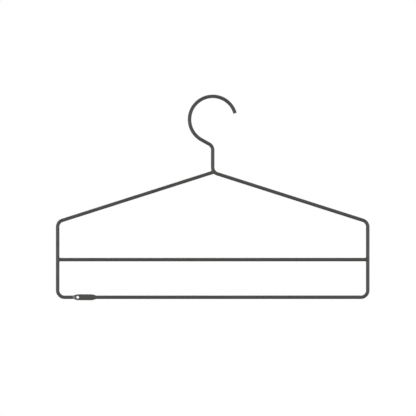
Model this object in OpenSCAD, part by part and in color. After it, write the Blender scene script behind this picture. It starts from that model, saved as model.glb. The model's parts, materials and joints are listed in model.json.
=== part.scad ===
// Wire trouser hanger: a bent wire frame with a welded trouser bar, and a lower rail that
// springs out of a fork-and-pin catch. Millimetres, +Z up, seen from the front along +Y.
// The origin is the inside top of the hook, where the hanger rests on a wardrobe rail.

/* [Wire] */
// Diameter of the round wire
wire_d = 5; // [4.4:0.1:7]
// Inside radius of the bends in the neck, shoulders and corners
bend_inner_r = 7.25; // [4:0.25:14]
// How much cold bending draws the wire's radius down
bend_thinning = 0.02; // [0.01:0.01:0.1]

/* [Hook] */
// Inside diameter of the hook
hook_inner_d = 60; // [45:1:90]
// Height of the hook's tip above its middle, as an angle round the hook
hook_tip_angle = 15.6; // [-10:0.2:40]
// Slope of the straight run from the hook down to the neck
hook_lean = 29.5; // [20:0.5:45]
// Length of the neck, from its upper corner down to the peak of the shoulders
neck_h = 36.8; // [28:0.2:80]

/* [Frame] */
// Distance between the middles of the two side wires
frame_w = 435; // [320:1:520]
// Slope of the shoulders
shoulder_slope = 17.7; // [10:0.1:30]
// Height of the side wires above the trouser bar
bar_drop = 53; // [35:0.5:90]
// Height of the trouser bar above the lower rail
rail_drop = 52.8; // [35:0.2:90]

/* [Catch] */
// Length of the left lower stub, from its bend to its cut end
stub_len = 11.6; // [11:0.1:30]
// Diameter of the locating pin
pin_d = 3; // [2:0.1:3.6]
// Length of the pin that stands out of the stub
pin_out = 2.8; // [1.5:0.1:5]
// Length of the pin inside the stub
pin_in = 6; // [3:0.5:10]
// Chamfer on the pin's free end
pin_chamfer = 0.4; // [0.1:0.1:0.8]
// Gap between the fork on the rail and the stub, and between the slot's end and the pin
catch_gap = 0.3; // [0.2:0.1:1]
// Play of the pin between the fork's prongs, on each side
pin_play = 0.15; // [0.1:0.05:0.3]

/* [Tab] */
// Height of the flattened tab
tab_h = 8.4; // [7:0.1:12]
// Thickness of the flattened tab
tab_t = 2.5; // [1.5:0.1:3.5]
// Length of the tab at its full height
tab_flat_len = 16.8; // [12:0.2:40]
// Radius of the tab's rounded shoulders
tab_shoulder_r = 15; // [8:0.5:30]
// Length of the fork's prongs at the height of the round wire
prong_len = 1.1; // [0.5:0.1:4]
// Diameter of the eye through the tab
eye_d = 3.8; // [2:0.1:5]
// Wall between the fork's slot and the eye
eye_wall = 1.8; // [1:0.1:8]
// Length of the tapered nose that carries the round wire into the flat tab
nose_len = 11; // [6:0.5:16]
// Depth of the nose's end under the tab's faces
nose_sink = 0.25; // [0.1:0.05:0.5]

/* [Welds] */
// Gap that a weld fills between a wire's cut end and the wire it meets
weld_root = 0.3; // [0.1:0.05:0.8]
// Distance from a wire's cut end to the middle of its weld
weld_depth = 1.2; // [0.8:0.1:2]
// Thickness of weld round the rim of a wire's cut end
weld_rim = 0.12; // [0.05:0.01:0.4]

/* [Spring stretch] */
// Distance from the trouser bar down to where the twisting stretch of the right side begins
twist_drop = 6; // [4:0.5:20]

/* [Hidden] */
// Sides of a round wire, and of a full turn of a bend
wire_sides = 48;
turn_sides = 288;
$fn = wire_sides;

WIRE_COLOR = [0.27, 0.275, 0.265];
WELD_COLOR = [0.24, 0.245, 0.24];
PIN_COLOR = [0.66, 0.67, 0.68];

wire_r = wire_d / 2;
bent_wire_r = wire_r - bend_thinning;
bend_r = bend_inner_r + wire_r;
hook_r = hook_inner_d / 2 + bent_wire_r;
side_x = frame_w / 2;

// Heights of the main points of the wire's middle line, from the origin down
hook_z = -hook_inner_d / 2;
neck_z = hook_z - hook_r / cos(hook_lean);
peak_z = neck_z - neck_h;
corner_z = peak_z - side_x * tan(shoulder_slope);
bar_z = corner_z - bar_drop;
rail_z = bar_z - rail_drop;

// Main points of the wire's middle line, in the plane of the hanger
hook_end = [0, hook_z] + hook_r * [-sin(hook_lean), -cos(hook_lean)];
hook_back = [-cos(hook_lean), sin(hook_lean)];
neck_top = [0, neck_z];
peak = [0, peak_z];
left_corner = [-side_x, corner_z];
right_corner = [side_x, corner_z];
left_foot = [-side_x, rail_z];
right_foot = [side_x, rail_z];
twist_top = [side_x, bar_z - twist_drop];
stub_end = [bend_r + stub_len - side_x, rail_z];

// The left shoulder's wire stops square, just short of the bend from neck to right shoulder
shoulder_turn = 90 - shoulder_slope;
neck_bend_middle = bend_r * [1, tan(shoulder_turn / 2)];
left_rise = [cos(shoulder_slope), sin(shoulder_slope)];
bend_along = neck_bend_middle * left_rise;
bend_beside = neck_bend_middle * [-left_rise.y, left_rise.x];
bend_outer_r = bend_r + wire_r + weld_root;
left_end_past_peak = bend_along - sqrt(pow(bend_outer_r, 2) - pow(bend_beside - wire_r, 2));
left_wire_end = peak + left_end_past_peak * left_rise;

// The trouser bar stops square, just short of each side wire
bar_end_x = side_x - wire_r - weld_root;

// The catch, from the fork's tips along the rail
fork_x = stub_end.x + catch_gap;
slot_end_x = stub_end.x + pin_out + catch_gap;
slot_h = pin_d + 2 * pin_play;
eye_x = slot_end_x + eye_wall + eye_d / 2;
shoulder_drop = tab_h / 2 - wire_r;
shoulder_len = sqrt(pow(tab_shoulder_r, 2) - pow(tab_shoulder_r - shoulder_drop, 2));
flat_start_x = fork_x + prong_len + shoulder_len;
flat_end_x = flat_start_x + tab_flat_len;
nose_x = flat_end_x + shoulder_len;

weld_r = sqrt(pow(weld_depth, 2) + pow(wire_r + weld_rim, 2));

// A straight stretch runs this far into the bend or nose that carries it on
lap = 0.1;
// A cutting shape runs this far past what it cuts
cut_over = 1;

function heading(from, to) = atan2(to.y - from.y, to.x - from.x);
function turn(a, b, c) =
    let (t = heading(b, c) - heading(a, b))
    t > 180 ? t - 360 : t < -180 ? t + 360 : t;
function bend_reach(a, b, c) = bend_r * tan(abs(turn(a, b, c)) / 2);

// Stands a shape drawn in X and Y up in the plane of the hanger
module in_hanger_plane() {
    rotate([90, 0, 0]) children();
}

// Lays a shape drawn along Z along a direction in the drawing's X and Y
module lie_along(way) {
    rotate([0, 0, heading([0, 0], way)])
        rotate([0, 90, 0])
            children();
}

module straight_wire(from, to, r = wire_r) {
    translate([from.x, from.y, 0])
        lie_along(to - from)
            cylinder(h = norm(to - from), r = r);
}

module wire_arc(centre, arc_r, start, sweep) {
    translate([centre.x, centre.y, 0])
        rotate([0, 0, start])
            rotate_extrude(angle = sweep, $fn = turn_sides)
                translate([arc_r, 0])
                    circle(r = bent_wire_r, $fn = wire_sides);
}

module wire_bend(a, b, c) {
    left_turn = turn(a, b, c) > 0;
    side = left_turn ? 1 : -1;
    way_in = (b - a) / norm(b - a);
    start_point = b - bend_reach(a, b, c) * way_in;
    centre = start_point + side * bend_r * [-way_in.y, way_in.x];
    start = heading(centre, start_point);
    sweep = abs(turn(a, b, c));
    wire_arc(centre, bend_r, left_turn ? start : start - sweep, sweep);
}

// Round wire along a list of points, bent at each point between the ends
module wire_run(points) {
    last = len(points) - 1;
    for (i = [0 : last - 1]) {
        way = (points[i + 1] - points[i]) / norm(points[i + 1] - points[i]);
        bend_in = i == 0 ? 0 : bend_reach(points[i - 1], points[i], points[i + 1]) - lap;
        bend_out = i == last - 1 ? 0 : bend_reach(points[i], points[i + 1], points[i + 2]) - lap;
        straight_wire(points[i] + bend_in * way, points[i + 1] - bend_out * way);
    }
    for (i = [1 : last - 1])
        wire_bend(points[i - 1], points[i], points[i + 1]);
}

// Weld between a wire that stops at a cut end and the wires it reaches, which are the children
module weld(cut_end, way) {
    middle = cut_end + weld_depth * way;
    difference() {
        translate([middle.x, middle.y, 0]) lie_along(way) sphere(r = weld_r);
        straight_wire(cut_end - 2 * weld_r * way, cut_end);
        children();
    }
}

module hook_and_neck() {
    wire_arc([0, hook_z], hook_r, hook_tip_angle, 270 - hook_lean - hook_tip_angle);
    wire_run([hook_end + lap * hook_back, neck_top, peak, right_corner, twist_top]);
}

module hook_wire() {
    color(WIRE_COLOR) in_hanger_plane() hook_and_neck();
}

module left_wire() {
    color(WIRE_COLOR) in_hanger_plane() difference() {
        wire_run([left_wire_end, left_corner, left_foot, stub_end]);
        straight_wire(stub_end - [pin_in, 0], stub_end + [cut_over, 0], pin_d / 2);
    }
}

module trouser_bar() {
    color(WIRE_COLOR) in_hanger_plane()
        straight_wire([-bar_end_x, bar_z], [bar_end_x, bar_z]);
}

// Outline of a rounded end of the tab: two shoulders that start at x and meet in a point
module tab_shoulders(x) {
    intersection_for (side = [-1, 1])
        translate([x, rail_z + side * (tab_h / 2 - tab_shoulder_r)])
            circle(r = tab_shoulder_r, $fn = turn_sides);
}

module tab_outline() {
    translate([fork_x, rail_z - wire_r]) square([flat_start_x - fork_x, wire_d]);
    translate([flat_start_x, rail_z - tab_h / 2]) square([tab_flat_len, tab_h]);
    tab_shoulders(flat_end_x);
    intersection() {
        tab_shoulders(flat_start_x);
        translate([fork_x, rail_z - tab_h / 2]) square([flat_end_x - fork_x, tab_h]);
    }
}

module tab_plate() {
    translate([0, 0, -tab_t / 2]) linear_extrude(tab_t) tab_outline();
}

module tab_nose() {
    translate([nose_x + lap, rail_z, 0]) rotate([0, -90, 0])
        cylinder(h = nose_len + lap, r1 = bent_wire_r, r2 = tab_t / 2 - nose_sink);
}

module fork_slot() {
    translate([fork_x - cut_over, rail_z - slot_h / 2, -tab_t])
        cube([slot_end_x - fork_x + cut_over, slot_h, 2 * tab_t]);
}

module tab_eye() {
    translate([eye_x, rail_z, -tab_t]) cylinder(h = 2 * tab_t, d = eye_d);
}

module lower_rail() {
    color(WIRE_COLOR) in_hanger_plane() {
        wire_run([twist_top, right_foot, [nose_x, rail_z]]);
        difference() {
            union() {
                tab_plate();
                tab_nose();
            }
            fork_slot();
            tab_eye();
        }
    }
}

module locating_pin() {
    pin_r = pin_d / 2;
    pin_len = pin_in + pin_out;
    color(PIN_COLOR) translate([stub_end.x - pin_in, 0, rail_z]) rotate([0, 90, 0])
        rotate_extrude()
            polygon([
                [0, 0], [pin_r, 0], [pin_r, pin_len - pin_chamfer],
                [pin_r - pin_chamfer, pin_len], [0, pin_len]
            ]);
}

module neck_weld() {
    color(WELD_COLOR) in_hanger_plane()
        weld(left_wire_end, left_rise) hook_and_neck();
}

module bar_weld(side) {
    color(WELD_COLOR) in_hanger_plane()
        weld([side * bar_end_x, bar_z], [side, 0])
            straight_wire([side * side_x, bar_z - bar_drop], [side * side_x, bar_z + bar_drop]);
}

module left_bar_weld() {
    bar_weld(-1);
}

module right_bar_weld() {
    bar_weld(1);
}

hook_wire();
left_wire();
trouser_bar();
lower_rail();
locating_pin();
neck_weld();
left_bar_weld();
right_bar_weld();
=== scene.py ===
"""Looks of a wire trouser hanger: coated round wire, welded joints, a pressed tab and a bare pin.

Everything is in metres, with +Z up. The hanger hangs in the plane of X and Z, and its front faces -Y.
A path is an array of (x, z) points in that plane.
"""
import json
import math

import bmesh
import bpy
import numpy as np
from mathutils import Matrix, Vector


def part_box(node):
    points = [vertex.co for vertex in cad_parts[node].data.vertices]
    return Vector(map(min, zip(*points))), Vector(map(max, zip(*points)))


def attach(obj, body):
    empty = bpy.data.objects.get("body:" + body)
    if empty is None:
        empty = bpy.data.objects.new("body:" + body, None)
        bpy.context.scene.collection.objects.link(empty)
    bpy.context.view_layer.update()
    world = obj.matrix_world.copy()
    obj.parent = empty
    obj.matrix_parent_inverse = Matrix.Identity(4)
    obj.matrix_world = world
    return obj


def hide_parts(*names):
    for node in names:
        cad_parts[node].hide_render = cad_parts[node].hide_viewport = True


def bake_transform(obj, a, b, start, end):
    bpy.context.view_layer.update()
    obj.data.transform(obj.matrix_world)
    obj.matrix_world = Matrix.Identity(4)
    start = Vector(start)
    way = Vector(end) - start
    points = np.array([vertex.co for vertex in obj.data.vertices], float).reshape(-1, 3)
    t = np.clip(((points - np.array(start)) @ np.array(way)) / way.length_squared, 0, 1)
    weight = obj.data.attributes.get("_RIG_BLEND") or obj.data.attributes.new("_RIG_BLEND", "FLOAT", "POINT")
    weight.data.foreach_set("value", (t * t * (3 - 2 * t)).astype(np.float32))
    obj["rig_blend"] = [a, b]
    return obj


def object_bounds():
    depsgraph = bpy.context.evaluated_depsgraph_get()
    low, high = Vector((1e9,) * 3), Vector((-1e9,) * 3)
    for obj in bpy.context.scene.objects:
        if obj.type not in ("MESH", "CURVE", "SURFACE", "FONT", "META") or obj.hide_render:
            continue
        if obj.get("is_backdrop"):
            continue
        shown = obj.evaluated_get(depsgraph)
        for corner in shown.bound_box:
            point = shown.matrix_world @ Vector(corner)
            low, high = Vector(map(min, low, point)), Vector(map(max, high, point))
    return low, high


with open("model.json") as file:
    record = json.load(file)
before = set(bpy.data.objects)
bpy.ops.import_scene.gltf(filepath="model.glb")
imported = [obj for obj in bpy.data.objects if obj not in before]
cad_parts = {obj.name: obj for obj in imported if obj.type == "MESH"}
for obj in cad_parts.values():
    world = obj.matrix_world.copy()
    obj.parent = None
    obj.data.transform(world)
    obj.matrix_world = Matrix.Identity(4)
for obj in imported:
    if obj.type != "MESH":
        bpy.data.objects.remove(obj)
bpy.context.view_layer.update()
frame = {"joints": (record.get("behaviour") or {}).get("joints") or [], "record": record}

MM = 0.001

# Sizes of the bent wire that the frame doesn't state
WIRE_R = 2.5 * MM
BEND_INNER_R = 7.25 * MM
HOOK_INNER_R = 30 * MM
HOOK_TIP_ANGLE = math.radians(15.6)
HOOK_LEAN = math.radians(29.5)
NECK_H = 36.8 * MM
SHOULDER_SLOPE = math.radians(17.7)

# Sizes of the catch and of the pressed tab
PIN_R = 1.5 * MM
PIN_CHAMFER = 0.4 * MM
CATCH_GAP = 0.3 * MM
PIN_PLAY = 0.15 * MM
TAB_T = 2.5 * MM
TAB_FLAT_LEN = 16.8 * MM
TAB_SHOULDER_R = 15 * MM
PRONG_LEN = 1.1 * MM
NOSE_LEN = 11 * MM
NOSE_SINK = 0.25 * MM
PRESS_RUN_OUT = 1.5 * MM

# Softness of the real edges
CUT_EDGE_R = 0.35 * MM
TAB_EDGE_R = 0.75 * MM
RIM_R = 0.3 * MM
SLOT_CORNER_R = 0.35 * MM
PIN_EDGE_R = 0.12 * MM
PRESS_FILLET = 0.6 * MM

# The flat mark that the round bending former leaves on the inside of a bend
FORMER_MARK = 0.1 * MM
MARK_FILLET = 0.12 * MM

# The weld beads: where the wires stop, the metal between them and its round bead
WELD_ROOT = 0.3 * MM
WELD_FILLET = 0.8 * MM
BEAD_R = 0.55 * MM
BEAD_BLEND = 0.35 * MM
BEAD_TUCK = 0.02 * MM

# Places and sizes that the frame states
FOOT = frame["joints"][0]["pos_m"]
EYE = next(m for m in frame["record"]["mounts"] if m["name"] == "tab_eye")
BAR_LOW, BAR_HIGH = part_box("trouser_bar")
RAIL_LOW, RAIL_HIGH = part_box("lower_rail")
PIN_LOW, PIN_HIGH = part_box("locating_pin")
SIDE_X, RAIL_Z = FOOT[0], FOOT[2]
BAR_Z = (BAR_HIGH.z + BAR_LOW.z) / 2
TWIST_Z = RAIL_HIGH.z
TAB_H = 2 * (RAIL_Z - RAIL_LOW.z)
FORK_X = RAIL_LOW.x
STUB_END_X = FORK_X - CATCH_GAP
SLOT_END_X = PIN_HIGH.x + CATCH_GAP
SLOT_HALF_H = PIN_R + PIN_PLAY
EYE_X, EYE_R = EYE["pos_m"][0], EYE["dims"]["r_mm"] * MM

# Bend sizes and main points of the wire's middle line
BEND_R = BEND_INNER_R + WIRE_R
HOOK_R = HOOK_INNER_R + WIRE_R
HOOK_Z = -HOOK_INNER_R
NECK_Z = HOOK_Z - HOOK_R / math.cos(HOOK_LEAN)
PEAK_Z = NECK_Z - NECK_H
CORNER_Z = PEAK_Z - SIDE_X * math.tan(SHOULDER_SLOPE)

# The pressed tab, from the fork's tips to the round wire
TAB_SHOULDER_DROP = TAB_H / 2 - WIRE_R
TAB_SHOULDER_LEN = math.sqrt(TAB_SHOULDER_R**2 - (TAB_SHOULDER_R - TAB_SHOULDER_DROP) ** 2)
FLAT_START_X = FORK_X + PRONG_LEN + TAB_SHOULDER_LEN
FLAT_END_X = FLAT_START_X + TAB_FLAT_LEN
NOSE_X = FLAT_END_X + TAB_SHOULDER_LEN
PRESS_END_X = NOSE_X + PRESS_RUN_OUT

# How finely the meshes are cut
WIRE_SIDES = 64
PIN_SIDES = 64
EYE_SIDES = 72
EDGE_STEPS = 7
ARC_STEP = math.radians(3)
STRAIGHT_STEP = 4 * MM
TAB_STEP = 0.25 * MM
MARK_STEPS = np.linspace(2.0, 0.25, 8) * MM
CREASE = math.radians(35)
BEAD_ROWS, BEAD_COLUMNS = 56, 144
BEAD_HALVINGS = 24

# Colours and grain of the finishes
COAT_COLOUR = (0.045, 0.0457, 0.0432, 1)
WELD_COLOUR = (0.0416, 0.0423, 0.0400, 1)
RUBBED_COLOUR = (0.088, 0.088, 0.086, 1)
STEEL_DARK = (0.15, 0.153, 0.156, 1)
STEEL_LIGHT = (0.20, 0.204, 0.208, 1)
COAT_ROUGHNESS = 0.41
COAT_PEEL = 0.6 * MM
WELD_PEEL = 0.85 * MM
PEEL_DEPTH = 0.07 * MM
TURNING_DEPTH = 0.01 * MM


def unit(v):
    return v / np.linalg.norm(v)


def once_round(count):
    """Even angles once round a circle."""
    return np.linspace(0, 2 * math.pi, count, endpoint=False)


def arc_points(centre, radius, start, sweep):
    """Points round an arc, from angle start through angle sweep."""
    count = max(2, math.ceil(abs(sweep) / ARC_STEP))
    angles = start + sweep * np.linspace(0, 1, count + 1)
    return centre + radius * np.column_stack([np.cos(angles), np.sin(angles)])


def bent_path(corners):
    """Points of a line through the corners, with each inner corner bent to the wire's bend radius.

    The straight wire beside a bend has close points as well, because the former's mark reaches there.
    """
    corners = np.array(corners, float)
    stretches = [corners[:1]]
    for before, corner, after in zip(corners, corners[1:], corners[2:]):
        way_in, way_out = unit(corner - before), unit(after - corner)
        turn = math.atan2(way_in[0] * way_out[1] - way_in[1] * way_out[0], way_in @ way_out)
        side = math.copysign(1, turn)
        square = side * np.array([-way_in[1], way_in[0]])
        cut_short = BEND_R * math.tan(abs(turn) / 2)
        start, end = corner - cut_short * way_in, corner + cut_short * way_out
        centre = start + BEND_R * square
        stretches.append(start - MARK_STEPS[:, None] * way_in)
        stretches.append(arc_points(centre, BEND_R, math.atan2(*(start - centre)[::-1]), turn))
        stretches.append(end + MARK_STEPS[::-1, None] * way_out)
    stretches.append(corners[-1:])
    return np.vstack(stretches)


def even_out(path):
    """The path with more points: close along the pressed tab, wide on plain wire."""
    points = [path[:1]]
    for a, b in zip(path, path[1:]):
        step = TAB_STEP if lies_on_tab(*((a + b) / 2)) else STRAIGHT_STEP
        count = max(1, math.ceil(np.linalg.norm(b - a) / step))
        points.append(a + (b - a) * np.linspace(0, 1, count + 1)[1:, None])
    return np.vstack(points)


def lies_on_tab(x, z):
    """Whether points lie along the pressed end of the lower rail."""
    return (x > STUB_END_X) & (x < PRESS_END_X) & (z < RAIL_Z + 2 * WIRE_R)


def rounded_in(depth, radius):
    """How far a rounded edge draws a surface in, at a depth below the edge."""
    depth = np.clip(depth, 0, radius)
    return radius - np.sqrt(radius**2 - (radius - depth) ** 2)


def smooth_max(a, b, fillet):
    """The larger of two values, with a fillet of about this size where they are equal."""
    near = np.clip(1 - np.abs(a - b) / fillet, 0, 1)
    return np.maximum(a, b) + near**2 * fillet / 4


def round_cut_end(path):
    """The path with extra points at its last end, and each point's share of the wire's radius."""
    depths = CUT_EDGE_R * (1 - np.cos(np.linspace(0, math.pi / 2, EDGE_STEPS)))
    way = unit(path[-1] - path[-2])
    end = path[-1] - depths[::-1, None] * way
    share = np.concatenate([np.ones(len(path) - 1), 1 - rounded_in(depths[::-1], CUT_EDGE_R) / WIRE_R])
    return np.vstack([path[:-1], end]), share


def round_wire_tree():
    """Geometry Nodes: round wire along a path, thinned where the path's points say."""
    tree = bpy.data.node_groups.new("round_wire_on_path", "GeometryNodeTree")
    sockets = tree.interface
    sockets.new_socket("Path", in_out="INPUT", socket_type="NodeSocketGeometry")
    sockets.new_socket("Wire radius", in_out="INPUT", socket_type="NodeSocketFloat")
    sockets.new_socket("Sides", in_out="INPUT", socket_type="NodeSocketInt")
    sockets.new_socket("Coat", in_out="INPUT", socket_type="NodeSocketMaterial")
    sockets.new_socket("Wire", in_out="OUTPUT", socket_type="NodeSocketGeometry")
    nodes, link = tree.nodes, tree.links.new
    given = nodes.new("NodeGroupInput")
    to_curve = nodes.new("GeometryNodeMeshToCurve")
    section = nodes.new("GeometryNodeCurvePrimitiveCircle")
    share = nodes.new("GeometryNodeInputNamedAttribute")
    share.data_type = "FLOAT"
    share.inputs["Name"].default_value = "radius_share"
    sweep = nodes.new("GeometryNodeCurveToMesh")
    sweep.inputs["Fill Caps"].default_value = True
    realize = nodes.new("GeometryNodeRealizeInstances")
    coat = nodes.new("GeometryNodeSetMaterial")
    made = nodes.new("NodeGroupOutput")
    link(given.outputs["Path"], to_curve.inputs["Mesh"])
    link(given.outputs["Wire radius"], section.inputs["Radius"])
    link(given.outputs["Sides"], section.inputs["Resolution"])
    link(to_curve.outputs["Curve"], sweep.inputs["Curve"])
    link(section.outputs["Curve"], sweep.inputs["Profile Curve"])
    link(share.outputs["Attribute"], sweep.inputs["Scale"])
    link(sweep.outputs["Mesh"], realize.inputs["Geometry"])
    link(realize.outputs["Geometry"], coat.inputs["Geometry"])
    link(given.outputs["Coat"], coat.inputs["Material"])
    link(coat.outputs["Geometry"], made.inputs["Wire"])
    return tree


def set_input(modifier, name, value):
    """Sets a Geometry Nodes input by its socket's identifier."""
    items = modifier.node_group.interface.items_tree
    socket = next(i for i in items if i.name == name and i.in_out == "INPUT")
    modifier[socket.identifier] = value


def new_piece(name, points, faces, material=None):
    """An object at the origin with this mesh."""
    mesh = bpy.data.meshes.new(name)
    mesh.from_pydata([tuple(p) for p in points], [], [tuple(f) for f in faces])
    if material:
        mesh.materials.append(material)
    piece = bpy.data.objects.new(name, mesh)
    bpy.context.scene.collection.objects.link(piece)
    return piece


def closed_tube(rings):
    """Points and faces of a closed skin over a row of rings with equally many points."""
    count = len(rings[0])
    points = [p for ring in rings for p in ring]
    faces = [tuple(range(count))[::-1], tuple(range(len(points) - count, len(points)))]
    for row in range(len(rings) - 1):
        for i in range(count):
            a, b = row * count + i, row * count + (i + 1) % count
            faces.append((a, b, b + count, a + count))
    return points, faces


def settle(piece):
    """Turns what a piece's modifiers make into its own plain mesh."""
    bpy.context.view_layer.update()
    graph = bpy.context.evaluated_depsgraph_get()
    mesh = bpy.data.meshes.new_from_object(piece.evaluated_get(graph), depsgraph=graph)
    old = piece.data
    piece.modifiers.clear()
    piece.data = mesh
    bpy.data.meshes.remove(old)


def face_outwards(piece):
    """Joins doubled points and points every face outwards."""
    work = bmesh.new()
    work.from_mesh(piece.data)
    bmesh.ops.remove_doubles(work, verts=work.verts, dist=0.001 * MM)
    bmesh.ops.recalc_face_normals(work, faces=work.faces)
    work.to_mesh(piece.data)
    work.free()


def finish_faces(piece):
    """Points every face outwards and shades it smooth, apart from creases."""
    face_outwards(piece)
    piece.data.shade_smooth()
    piece.data.set_sharp_from_angle(angle=CREASE)


def read_points(mesh):
    points = np.zeros(len(mesh.vertices) * 3)
    mesh.vertices.foreach_get("co", points)
    return points.reshape(-1, 3)


def write_points(mesh, points):
    mesh.vertices.foreach_set("co", points.ravel())
    mesh.update()


def wire_piece(name, path, share, tree, coat):
    """Round wire along a path, as a plain mesh."""
    points = [(x, 0, z) for x, z in path]
    mesh = bpy.data.meshes.new(name)
    mesh.from_pydata(points, [(i, i + 1) for i in range(len(points) - 1)], [])
    mesh.attributes.new("radius_share", "FLOAT", "POINT").data.foreach_set("value", share)
    piece = bpy.data.objects.new(name, mesh)
    bpy.context.scene.collection.objects.link(piece)
    modifier = piece.modifiers.new("round_wire", "NODES")
    modifier.node_group = tree
    set_input(modifier, "Wire radius", WIRE_R)
    set_input(modifier, "Sides", WIRE_SIDES)
    set_input(modifier, "Coat", coat)
    settle(piece)
    for attribute in [a for a in piece.data.attributes if a.name == "radius_share"]:
        piece.data.attributes.remove(attribute)
    return piece


def press_bends(piece, corners):
    """Flattens the inside of each bend a little, where the round bending former pressed into the wire."""
    corners = np.array(corners, float)
    points = read_points(piece.data)
    for before, corner, after in zip(corners, corners[1:], corners[2:]):
        to_middle = unit(unit(before - corner) + unit(after - corner))
        half_turn = math.acos(unit(before - corner) @ to_middle)
        centre = corner + BEND_R / math.sin(half_turn) * to_middle
        from_centre = points[:, [0, 2]] - centre
        gap = np.hypot(from_centre[:, 0], from_centre[:, 1])
        near = gap < BEND_R
        pressed = smooth_max(gap[near], BEND_INNER_R + FORMER_MARK, MARK_FILLET)
        points[np.ix_(near, [0, 2])] = centre + from_centre[near] * (pressed / gap[near])[:, None]
    write_points(piece.data, points)


def tab_half_height(x):
    """Half the height of the tab's outline: two rounded shoulders and a straight middle."""
    beyond = np.maximum(0, np.maximum(FLAT_START_X - x, x - FLAT_END_X))
    arc = TAB_H / 2 - TAB_SHOULDER_R + np.sqrt(TAB_SHOULDER_R**2 - np.minimum(beyond, TAB_SHOULDER_R) ** 2)
    prong = smooth_max(arc, WIRE_R, PRESS_FILLET)
    return np.where(x < FLAT_START_X, prong, arc)


def plate_section(x, y, z):
    """Where the round wire's points move to on the plate's section, in Y and in Z over the rail's middle.

    A point's angle round the wire is shared out over the thin side, the rounded edge and the flat face.
    """
    side_share, edge_share, flat_share = 11, 34, 45
    roundest = 0.8
    drawn_in = rounded_in(x - FORK_X, CUT_EDGE_R)
    half_h, half_t = tab_half_height(x) - drawn_in, TAB_T / 2 - drawn_in
    edge_r = np.minimum(TAB_EDGE_R, roundest * half_t)
    angle = np.degrees(np.arctan2(np.abs(y), np.abs(z)))
    on_side = np.clip(angle / side_share, 0, 1)
    round_edge = np.radians(90 * np.clip((angle - side_share) / edge_share, 0, 1))
    on_flat = np.clip((angle - side_share - edge_share) / flat_share, 0, 1)
    plate_y = np.copysign((half_t - edge_r) * on_side + edge_r * np.sin(round_edge), y)
    plate_z = np.copysign((half_h - edge_r) * (1 - on_flat) + edge_r * np.cos(round_edge), z)
    return plate_y, plate_z


def nose_radius(x):
    """The round nose tapers down into the plate until it lies under the plate's faces."""
    thinnest = 0.1 * MM
    share = np.clip((NOSE_X - x) / NOSE_LEN, 0, None)
    radius = np.maximum(WIRE_R + share * (TAB_T / 2 - NOSE_SINK - WIRE_R), thinnest)
    return np.where(x > NOSE_X, WIRE_R, radius)


def press_tab(piece):
    """Presses the end of the round wire flat: a plate with rounded edges that the wire's nose runs into."""
    blend_len = 4 * MM
    tiny = 1e-9
    points = read_points(piece.data)
    on_tab = lies_on_tab(points[:, 0], points[:, 2])
    x, y, z = points[on_tab].T
    z = z - RAIL_Z
    size = np.maximum(np.hypot(y, z), tiny)
    round_way = np.column_stack([y, z]) / size[:, None]
    plate_y, plate_z = plate_section(x, y, z)
    plate_size = np.hypot(plate_y, plate_z)
    plate_way = np.column_stack([plate_y, plate_z]) / plate_size[:, None]
    pressed = smooth_max(plate_size, nose_radius(x), PRESS_FILLET)
    turned = np.clip((PRESS_END_X - x) / blend_len, 0, 1)
    turned = (turned**2 * (3 - 2 * turned))[:, None]
    way = round_way + turned * (plate_way - round_way)
    way /= np.linalg.norm(way, axis=1)[:, None]
    section = way * pressed[:, None]
    points[on_tab] = np.column_stack([x, section[:, 0], section[:, 1] + RAIL_Z])
    write_points(piece.data, points)


def flared_cutter(name, outline):
    """A cutter through the tab whose ends flare, so that the rim it leaves is rounded.

    outline(grow) gives the cut's outline in X and Z, grown by that much.
    """
    half_t = TAB_T / 2
    past_face = 1 * MM
    widest_flare = 75
    flare = np.radians(np.linspace(0, widest_flare, EDGE_STEPS))
    depth = RIM_R * (1 - np.sin(flare))
    grown = RIM_R * (1 - np.cos(flare))
    slope = past_face * math.tan(flare[-1])
    levels = [(half_t - d, g) for d, g in zip(depth, grown)]
    levels.append((half_t - depth[-1] + past_face, grown[-1] + slope))
    rows = [(-y, g) for y, g in reversed(levels)] + levels
    rings = [[(x, y, z) for x, z in outline(g)] for y, g in rows]
    return new_piece(name, *closed_tube(rings))


def eye_outline(grow):
    """The round eye near the tab's tip."""
    radius = EYE_R + grow
    return [(EYE_X + radius * math.cos(a), RAIL_Z + radius * math.sin(a)) for a in once_round(EYE_SIDES)]


def slot_outline(grow):
    """The fork's slot, open towards the stub, with its two inner corners a little rounded."""
    past_fork = 2 * MM
    corner_r = SLOT_CORNER_R + grow
    half_h, end_x, open_x = SLOT_HALF_H + grow, SLOT_END_X + grow, FORK_X - past_fork
    points = [(open_x, RAIL_Z + half_h), (open_x, RAIL_Z - half_h)]
    for side, start in ((-1, -90), (1, 0)):
        middle_x, middle_z = end_x - corner_r, RAIL_Z + side * (half_h - corner_r)
        for angle in np.radians(start + np.linspace(0, 90, EDGE_STEPS)):
            points.append((middle_x + corner_r * math.cos(angle), middle_z + corner_r * math.sin(angle)))
    return points


def pin_ring(x, radius):
    """A ring of points round the pin's middle line."""
    return [(x, radius * math.cos(a), RAIL_Z + radius * math.sin(a)) for a in once_round(PIN_SIDES)]


def pin_bore_cutter():
    """A cutter for the blind bore that holds the pin in the stub's cut end."""
    spare = 0.02 * MM
    past_end = 1 * MM
    ends = (PIN_LOW.x - spare, STUB_END_X + past_end)
    return new_piece("pin_bore_cutter", *closed_tube([pin_ring(x, PIN_R + spare) for x in ends]))


def cut_away(piece, cutter):
    """Cuts the cutter's shape out of a piece."""
    face_outwards(cutter)
    modifier = piece.modifiers.new("cut", "BOOLEAN")
    modifier.operation = "DIFFERENCE"
    modifier.solver = "EXACT"
    modifier.object = cutter
    settle(piece)
    bpy.data.objects.remove(cutter)


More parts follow.
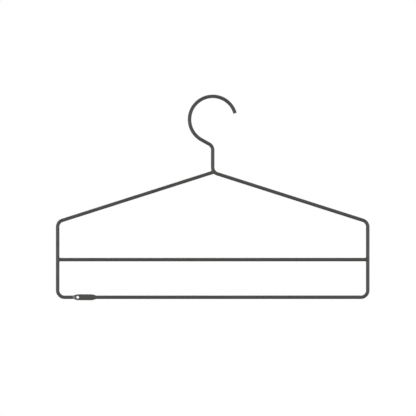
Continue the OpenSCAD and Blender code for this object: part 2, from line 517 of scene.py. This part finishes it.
def turned_pin(name, material):
    """The locating pin: a turned rod with a softened chamfer and a slightly domed end."""
    tip = PIN_HIGH.x
    chamfer_start, chamfer_end = tip - PIN_CHAMFER, tip - PIN_EDGE_R
    end_r = PIN_R - PIN_CHAMFER
    start_drop, end_rise, dome = 0.03 * MM, 0.1 * MM, 0.03 * MM
    profile = [
        (PIN_LOW.x, PIN_R),
        (chamfer_start - PIN_EDGE_R, PIN_R),
        (chamfer_start, PIN_R - start_drop),
        (chamfer_end, end_r + end_rise),
        (tip - dome, end_r - PIN_EDGE_R),
        (tip - dome / 3, 0.5 * PIN_R),
        (tip, 0.08 * PIN_R),
    ]
    return new_piece(name, *closed_tube([pin_ring(x, r) for x, r in profile]), material)


def distance_to_path(points, path):
    """Distance from each point to a path in the hanger's plane."""
    best = np.full(len(points), np.inf)
    flat = points[:, [0, 2]]
    for a, b in zip(path, path[1:]):
        along = np.clip((flat - a) @ (b - a) / ((b - a) @ (b - a)), 0, 1)
        gap = flat - a - along[:, None] * (b - a)
        best = np.minimum(best, gap[:, 0] ** 2 + gap[:, 1] ** 2)
    return np.sqrt(best + points[:, 1] ** 2)


def weld_bead(name, cut_end, way, met_path, phase):
    """Weld metal between a cut end and the wire it meets: a rippled round bead on a rolling fillet.

    Rays go out from a point in the joint, and each stops where wires, fillet and bead end. The phase
    gives each bead its own ripple.
    """
    past_cut, core, reach = 1.2 * MM, 0.3 * MM, 4.4 * MM
    own_behind, own_ahead, met_near = 12 * MM, 2 * MM, 60 * MM
    first_tilt, last_tilt = 40, 140
    thins_out_at, thins_over, thinnest = 134, 24, 0.01
    cut_end, way = np.array(cut_end), np.array(way)
    own_path = np.array([cut_end - own_behind * way, cut_end + own_ahead * way])
    met_path = met_path[np.linalg.norm(met_path - cut_end, axis=1) < met_near]

    # Rays in rows, from round the cut wire to round the wire it meets
    tilt = np.radians(np.linspace(first_tilt, last_tilt, BEAD_ROWS))[:, None]
    spin = once_round(BEAD_COLUMNS)[None, :]
    ahead = np.array([way[0], 0, way[1]])
    above = np.array([-way[1], 0, way[0]])
    sideways = np.array([0, 1, 0])
    radial = np.cos(spin)[..., None] * above + np.sin(spin)[..., None] * sideways
    rays = (-np.cos(tilt)[..., None] * ahead + np.sin(tilt)[..., None] * radial).reshape(-1, 3)

    # The fillet wanders in slow waves, the bead ripples on top, and both thin out along the wire it meets
    wander = 1 + 0.14 * np.sin(3 * spin + phase) + 0.07 * np.sin(7 * spin + 2.3 * phase)
    ripple = wander + 0.12 * np.abs(np.sin(11 * spin + phase + 1.2 * np.sin(2 * spin)))
    thinned = np.clip((np.radians(thins_out_at) - tilt) / np.radians(thins_over), thinnest, 1)
    fillet = (WELD_FILLET * wander * thinned).ravel()
    bead_r = (BEAD_R * ripple * thinned).ravel()

    # Each ray's end, found by halving
    middle = cut_end + past_cut * way
    start = np.array([middle[0], 0, middle[1]])
    near, far = np.full(len(rays), core), np.full(len(rays), reach)
    for _ in range(BEAD_HALVINGS):
        half = (near + far) / 2
        points = start + rays * half[:, None]
        own = WIRE_R - distance_to_path(points, own_path)
        met = WIRE_R - distance_to_path(points, met_path)
        bead = bead_r - np.hypot(own, met)
        inside = smooth_max(smooth_max(own, met, fillet), bead, BEAD_BLEND) > BEAD_TUCK
        near, far = np.where(inside, half, near), np.where(inside, far, half)
    points = (start + rays * near[:, None]).reshape(tilt.size, spin.size, 3)
    return new_piece(name, *closed_tube([[tuple(p) for p in row] for row in points]))


class Shading:
    """Short ways to add nodes to a material or to a shader group."""

    def __init__(self, tree):
        self.tree = tree

    def node(self, kind, **values):
        """A new node. A small-letter name is a setting, and any other is an input."""
        made = self.tree.nodes.new(kind)
        for key, value in values.items():
            if hasattr(made, key) and key.islower():
                setattr(made, key, value)
            else:
                made.inputs[key.replace("_", " ")].default_value = value
        return made

    def link(self, source, target):
        self.tree.links.new(source, target)

    def feed(self, source, target):
        """Sets an input to a plain value, or links it to a socket."""
        if isinstance(source, (float, tuple)):
            target.default_value = source
        else:
            self.link(source, target)

    def here(self):
        """The shaded point's place in Object coordinates, in metres."""
        return self.node("ShaderNodeTexCoord").outputs["Object"]

    def noise(self, where, scale, detail):
        made = self.node("ShaderNodeTexNoise", Detail=detail)
        self.link(where, made.inputs["Vector"])
        self.feed(scale, made.inputs["Scale"])
        return made.outputs["Fac"]

    def ramp(self, value, low, high, to_low, to_high):
        """A smooth step from to_low to to_high, while the value goes from low to high."""
        made = self.node("ShaderNodeMapRange", interpolation_type="SMOOTHSTEP")
        for index, number in enumerate((value, low, high, to_low, to_high)):
            self.feed(number, made.inputs[index])
        return made.outputs[0]

    def mix(self, share, first, second):
        """A mixed colour. The node's colour sockets come after those for numbers and vectors."""
        first_colour, second_colour, mixed_colour = 6, 7, 2
        made = self.node("ShaderNodeMix", data_type="RGBA")
        self.feed(share, made.inputs[0])
        self.feed(first, made.inputs[first_colour])
        self.feed(second, made.inputs[second_colour])
        return made.outputs[mixed_colour]

    def math(self, operation, *values):
        made = self.node("ShaderNodeMath", operation=operation)
        for index, value in enumerate(values):
            self.feed(value, made.inputs[index])
        return made.outputs[0]


def powder_coat_group():
    """Shader group: the fine orange peel, speckle and cloudy tone of a baked powder coat."""
    speckle_height, speckle_tone = 0.35, 0.012
    cloud_roughness, rubbed_polish = 0.18, 0.14
    group = bpy.data.node_groups.new("powder_coat_skin", "ShaderNodeTree")
    given_kinds = {
        "Colour": "Color",
        "Peel size": "Float",
        "Cloud": "Float",
        "Roughness": "Float",
        "Rubbed": "Float",
    }
    made_kinds = {"Colour": "Color", "Roughness": "Float", "Height": "Float"}
    for way, kinds in (("INPUT", given_kinds), ("OUTPUT", made_kinds)):
        for name, kind in kinds.items():
            group.interface.new_socket(name, in_out=way, socket_type="NodeSocket" + kind)
    s = Shading(group)
    given, made = s.node("NodeGroupInput"), s.node("NodeGroupOutput")
    where = s.here()
    peel = s.noise(where, scale=s.math("DIVIDE", 1.0, given.outputs["Peel size"]), detail=2.0)
    speckle = s.noise(where, scale=5200.0, detail=1.0)
    clouds = s.noise(where, scale=34.0, detail=3.0)
    cloudy = s.math("SUBTRACT", clouds, 0.5)
    s.link(s.math("MULTIPLY_ADD", speckle, speckle_height, peel), made.inputs["Height"])

    # Colour: clouds and speckle on the plain coat, and a paler tone where it is rubbed
    tone = s.math("MULTIPLY", cloudy, given.outputs["Cloud"])
    dust = s.math("MULTIPLY", s.math("SUBTRACT", speckle, 0.5), speckle_tone)
    toned = s.node("ShaderNodeBrightContrast")
    s.link(given.outputs["Colour"], toned.inputs["Color"])
    s.link(s.math("ADD", tone, dust), toned.inputs["Bright"])
    s.link(s.mix(given.outputs["Rubbed"], toned.outputs["Color"], RUBBED_COLOUR), made.inputs["Colour"])

    # Roughness: uneven with the clouds, and smoother where it is rubbed
    rough = s.math("ADD", given.outputs["Roughness"], s.math("MULTIPLY", cloudy, cloud_roughness))
    polish = s.math("MULTIPLY", given.outputs["Rubbed"], rubbed_polish)
    s.link(s.math("SUBTRACT", rough, polish), made.inputs["Roughness"])
    return group


def new_material(name):
    material = bpy.data.materials.new(name)
    material.use_nodes = True
    material.node_tree.nodes.clear()
    s = Shading(material.node_tree)
    out = s.node("ShaderNodeOutputMaterial")
    return material, s, out


def rubbed_share(s, places):
    """How far the coat is rubbed, in patches, round a few places.

    Each place is a point, the distance up to which the coat is rubbed and the distance where that ends.
    """
    where = s.here()
    patchy = s.ramp(s.noise(where, scale=900.0, detail=4.0), low=0.36, high=0.66, to_low=0.3, to_high=1.0)
    share = 0.0
    for place, within, until in places:
        gap = s.node("ShaderNodeVectorMath", operation="DISTANCE")
        gap.inputs[1].default_value = place
        s.link(where, gap.inputs[0])
        near = s.ramp(gap.outputs["Value"], low=within, high=until, to_low=1.0, to_high=0.0)
        share = s.math("MAXIMUM", s.math("MULTIPLY", near, patchy), share)
    return share


def coated(name, group, colour, peel, cloud, rubbed=()):
    """A powder-coated surface, with the places where it is rubbed."""
    material, s, out = new_material(name)
    skin = s.node("ShaderNodeGroup", node_tree=group, Colour=colour, Peel_size=peel, Cloud=cloud,
                  Roughness=COAT_ROUGHNESS)
    if rubbed:
        s.link(rubbed_share(s, rubbed), skin.inputs["Rubbed"])
    shader = s.node("ShaderNodeBsdfPrincipled", Specular_IOR_Level=0.24)
    relief = s.node("ShaderNodeBump", Strength=1.0, Distance=PEEL_DEPTH)
    s.link(skin.outputs["Height"], relief.inputs["Height"])
    s.link(skin.outputs["Colour"], shader.inputs["Base Color"])
    s.link(skin.outputs["Roughness"], shader.inputs["Roughness"])
    s.link(relief.outputs["Normal"], shader.inputs["Normal"])
    s.link(shader.outputs[0], out.inputs["Surface"])
    return material


def bare_steel():
    """Turned steel: fine rings across the pin, with a little cloudiness."""
    material, s, out = new_material("bare_turned_steel")
    where = s.here()
    along = s.node("ShaderNodeMapping", Scale=(9000, 500, 500))
    s.link(where, along.inputs["Vector"])
    rings = s.noise(along.outputs["Vector"], scale=1.0, detail=3.0)
    clouds = s.noise(where, scale=1400.0, detail=2.0)
    shader = s.node("ShaderNodeBsdfPrincipled", Metallic=1.0)
    relief = s.node("ShaderNodeBump", Strength=0.5, Distance=TURNING_DEPTH)
    s.link(rings, relief.inputs["Height"])
    s.link(s.mix(clouds, STEEL_DARK, STEEL_LIGHT), shader.inputs["Base Color"])
    s.link(s.ramp(rings, low=0.3, high=0.7, to_low=0.34, to_high=0.5), shader.inputs["Roughness"])
    s.link(relief.outputs["Normal"], shader.inputs["Normal"])
    s.link(shader.outputs[0], out.inputs["Surface"])
    return material


def seen_by_eye(s):
    """1 for camera, mirror and clear rays, which see plain white, and 0 for light on the object."""
    path = s.node("ShaderNodeLightPath")
    seen = s.math("MAXIMUM", path.outputs["Is Camera Ray"], path.outputs["Is Glossy Ray"])
    return s.math("MAXIMUM", seen, path.outputs["Is Transmission Ray"])


def mix_shaders(s, share, first, second, out):
    both = s.node("ShaderNodeMixShader")
    s.link(share, both.inputs[0])
    s.link(first.outputs[0], both.inputs[1])
    s.link(second.outputs[0], both.inputs[2])
    s.link(both.outputs[0], out.inputs["Surface"])


def pale_floor():
    """A pale floor well under the hanger, which fades into the white background at its rim."""
    floor_drop, floor_r, floor_sides = 0.95, 3.0, 96
    fade_from, fade_to, least_white = 0.9, 2.0, 0.45
    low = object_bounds()[0]
    turn = once_round(floor_sides)
    rim = [(floor_r * math.cos(a), floor_r * math.sin(a), low.z - floor_drop) for a in turn]
    material, s, out = new_material("pale_floor")
    gap = s.node("ShaderNodeVectorMath", operation="LENGTH")
    s.link(s.here(), gap.inputs[0])
    fade = s.ramp(gap.outputs["Value"], low=fade_from, high=fade_to, to_low=least_white, to_high=1.0)
    plain = s.node("ShaderNodeBsdfPrincipled", Roughness=0.9, Base_Color=(0.62, 0.62, 0.62, 1))
    white = s.node("ShaderNodeEmission", Strength=1.0)
    mix_shaders(s, s.math("MULTIPLY", seen_by_eye(s), fade), plain, white, out)
    new_piece("floor", rim, [tuple(range(len(rim)))], material)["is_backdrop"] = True


def studio_light():
    """Plain soft light: a lamp at each side of the front, one above and one behind.

    The two at the sides give the upright wires more light than the level ones.
    """
    for name, place, size, power in (
        ("key_softbox", (0.2, -0.7, 1.35), 0.8, 7.0),
        ("right_softbox", (1.3, -1.25, -0.15), 0.8, 18.5),
        ("left_softbox", (-1.3, -1.25, -0.15), 0.8, 21.5),
        ("back_softbox", (-0.3, 1.5, 0.9), 1.0, 14.0),
    ):
        lamp = bpy.data.lights.new(name, "AREA")
        lamp.shape = "SQUARE"
        lamp.size = size
        lamp.energy = power
        holder = bpy.data.objects.new(name, lamp)
        holder.location = place
        aim = np.array([0, 0, BAR_Z]) - np.array(place)
        holder.rotation_mode = "QUATERNION"
        holder.rotation_quaternion = Vector(aim).to_track_quat("-Z", "Y")
        bpy.context.scene.collection.objects.link(holder)


def surround():
    """A faint grey light from all round, which looks white to the camera."""
    world = bpy.data.worlds.new("surround")
    bpy.context.scene.world = world
    world.use_nodes = True
    world.node_tree.nodes.clear()
    s = Shading(world.node_tree)
    grey = s.node("ShaderNodeBackground", Strength=0.08, Color=(1, 1, 1, 1))
    white = s.node("ShaderNodeBackground", Strength=1.0, Color=(1, 1, 1, 1))
    mix_shaders(s, seen_by_eye(s), grey, white, s.node("ShaderNodeOutputWorld"))


def photo_camera():
    """The camera stands square in front, level with the photograph's middle.

    The neck's column and the hook's seat's row in the photograph say where that middle is.
    """
    pixel = 1.4028 * MM
    frame_px = 416
    neck_px, seat_px = 212.7, 98.11
    distance = 1.8
    camera = bpy.data.cameras.new("camera")
    holder = bpy.data.objects.new("camera", camera)
    holder.location = ((frame_px / 2 - neck_px) * pixel, -distance, (seat_px - frame_px / 2) * pixel)
    holder.rotation_euler = (math.pi / 2, 0, 0)
    camera.lens = camera.sensor_width * distance / (frame_px * pixel)
    camera.clip_end = 50
    bpy.context.scene.collection.objects.link(holder)
    bpy.context.scene.camera = holder


def left_wire_end(rise):
    """Where the left shoulder's wire stops, just short of the bend from neck to right shoulder."""
    middle = BEND_R * np.array([1, math.tan((math.pi / 2 - SHOULDER_SLOPE) / 2)])
    along, beside = middle @ rise, middle @ np.array([-rise[1], rise[0]])
    outer = BEND_R + WIRE_R + WELD_ROOT
    past_peak = along - math.sqrt(outer**2 - (beside - WIRE_R) ** 2)
    return np.array([0, PEAK_Z]) + past_peak * rise


def long_wire_path():
    """The corners and the points of the long wire's middle line, from the hook's tip to the fork."""
    hook_sweep = 1.5 * math.pi - HOOK_LEAN - HOOK_TIP_ANGLE
    hook = arc_points(np.array([0, HOOK_Z]), HOOK_R, HOOK_TIP_ANGLE, hook_sweep)
    corners = [hook[-1], (0, NECK_Z), (0, PEAK_Z), (SIDE_X, CORNER_Z), (SIDE_X, RAIL_Z), (FORK_X, RAIL_Z)]
    run = bent_path(corners)
    return corners, even_out(np.vstack([hook, run[1:-1], [(PRESS_END_X, RAIL_Z)], run[-1:]]))


def build_long_wire(corners, path, tree, coat):
    """Hook, neck, right shoulder, right side and lower rail with its pressed tab, as one wire.

    The path is turned round, so that the hook's tip comes last and is the end that gets the round edge.
    """
    fork_first, share = round_cut_end(path[::-1])
    wire = wire_piece("hook_and_rail_wire", fork_first, share, tree, coat)
    press_tab(wire)
    press_bends(wire, corners)
    face_outwards(wire)
    cut_away(wire, flared_cutter("eye_cutter", eye_outline))
    cut_away(wire, flared_cutter("slot_cutter", slot_outline))
    return wire


def build_left_wire(shoulder_end, tree, coat):
    """Left shoulder, left side and stub, with the pin's bore."""
    corners = [shoulder_end, (-SIDE_X, CORNER_Z), (-SIDE_X, RAIL_Z), (STUB_END_X, RAIL_Z)]
    path, share = round_cut_end(even_out(bent_path(corners)))
    wire = wire_piece("left_side_wire", path, share, tree, coat)
    press_bends(wire, corners)
    face_outwards(wire)
    cut_away(wire, pin_bore_cutter())
    return wire


def build_bar(tree, coat):
    path = even_out(np.array([(BAR_LOW.x, BAR_Z), (BAR_HIGH.x, BAR_Z)]))
    return wire_piece("middle_trouser_bar", path, np.ones(len(path)), tree, coat)


def build_beads(shoulder_end, rise, long_path):
    """The three welds: under the neck, and at the right and left ends of the trouser bar."""
    past_corner = 20 * MM
    side = np.array([(SIDE_X, CORNER_Z - past_corner), (SIDE_X, RAIL_Z + past_corner)])
    return (
        weld_bead("neck_weld_bead", shoulder_end, rise, long_path, phase=0.6),
        weld_bead("right_bar_weld_bead", (BAR_HIGH.x, BAR_Z), (1, 0), side, phase=1.9),
        weld_bead("left_bar_weld_bead", (BAR_LOW.x, BAR_Z), (-1, 0), side * (-1, 1), phase=3.7),
    )


def build_hanger():
    # The coat is rubbed where metal meets metal in use
    hook_seat = ((0, 0, -4 * MM), 4.3 * MM, 7.8 * MM)
    fork_mouth = ((FORK_X, 0, RAIL_Z), 1.7 * MM, 2.6 * MM)
    rubbed = (hook_seat, fork_mouth)
    skin = powder_coat_group()
    coat = coated("wire_powder_coat", skin, COAT_COLOUR, COAT_PEEL, cloud=0.016, rubbed=rubbed)
    weld_coat = coated("weld_powder_coat", skin, WELD_COLOUR, WELD_PEEL, cloud=0.02)

    # The pieces
    tree = round_wire_tree()
    corners, long_path = long_wire_path()
    rise = np.array([math.cos(SHOULDER_SLOPE), math.sin(SHOULDER_SLOPE)])
    shoulder_end = left_wire_end(rise)
    long_wire = build_long_wire(corners, long_path, tree, coat)
    left_wire = build_left_wire(shoulder_end, tree, coat)
    bar = build_bar(tree, coat)
    neck_bead, right_bead, left_bead = build_beads(shoulder_end, rise, long_path)
    for bead in (neck_bead, right_bead, left_bead):
        bead.data.materials.append(weld_coat)
    pin = turned_pin("turned_locating_pin", bare_steel())
    for piece in (long_wire, left_wire, bar, neck_bead, right_bead, left_bead, pin):
        finish_faces(piece)

    # What each piece stands for. The long wire twists from the frame to the rail in its right side
    for piece, node, slot in (
        (left_wire, "left_wire", "wire"),
        (bar, "trouser_bar", "wire"),
        (neck_bead, "neck_weld", "weld"),
        (right_bead, "right_bar_weld", "weld"),
        (left_bead, "left_bar_weld", "weld"),
        (pin, "locating_pin", "bare_steel"),
    ):
        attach(piece, "frame")
        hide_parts(node)
    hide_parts("hook_wire", "lower_rail")
    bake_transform(long_wire, "frame", "rail", start=(SIDE_X, 0, TWIST_Z), end=(SIDE_X, 0, RAIL_Z + BEND_R))


photo_camera()
build_hanger()
pale_floor()
studio_light()
surround()
bpy.context.scene.view_settings.view_transform = "Standard"
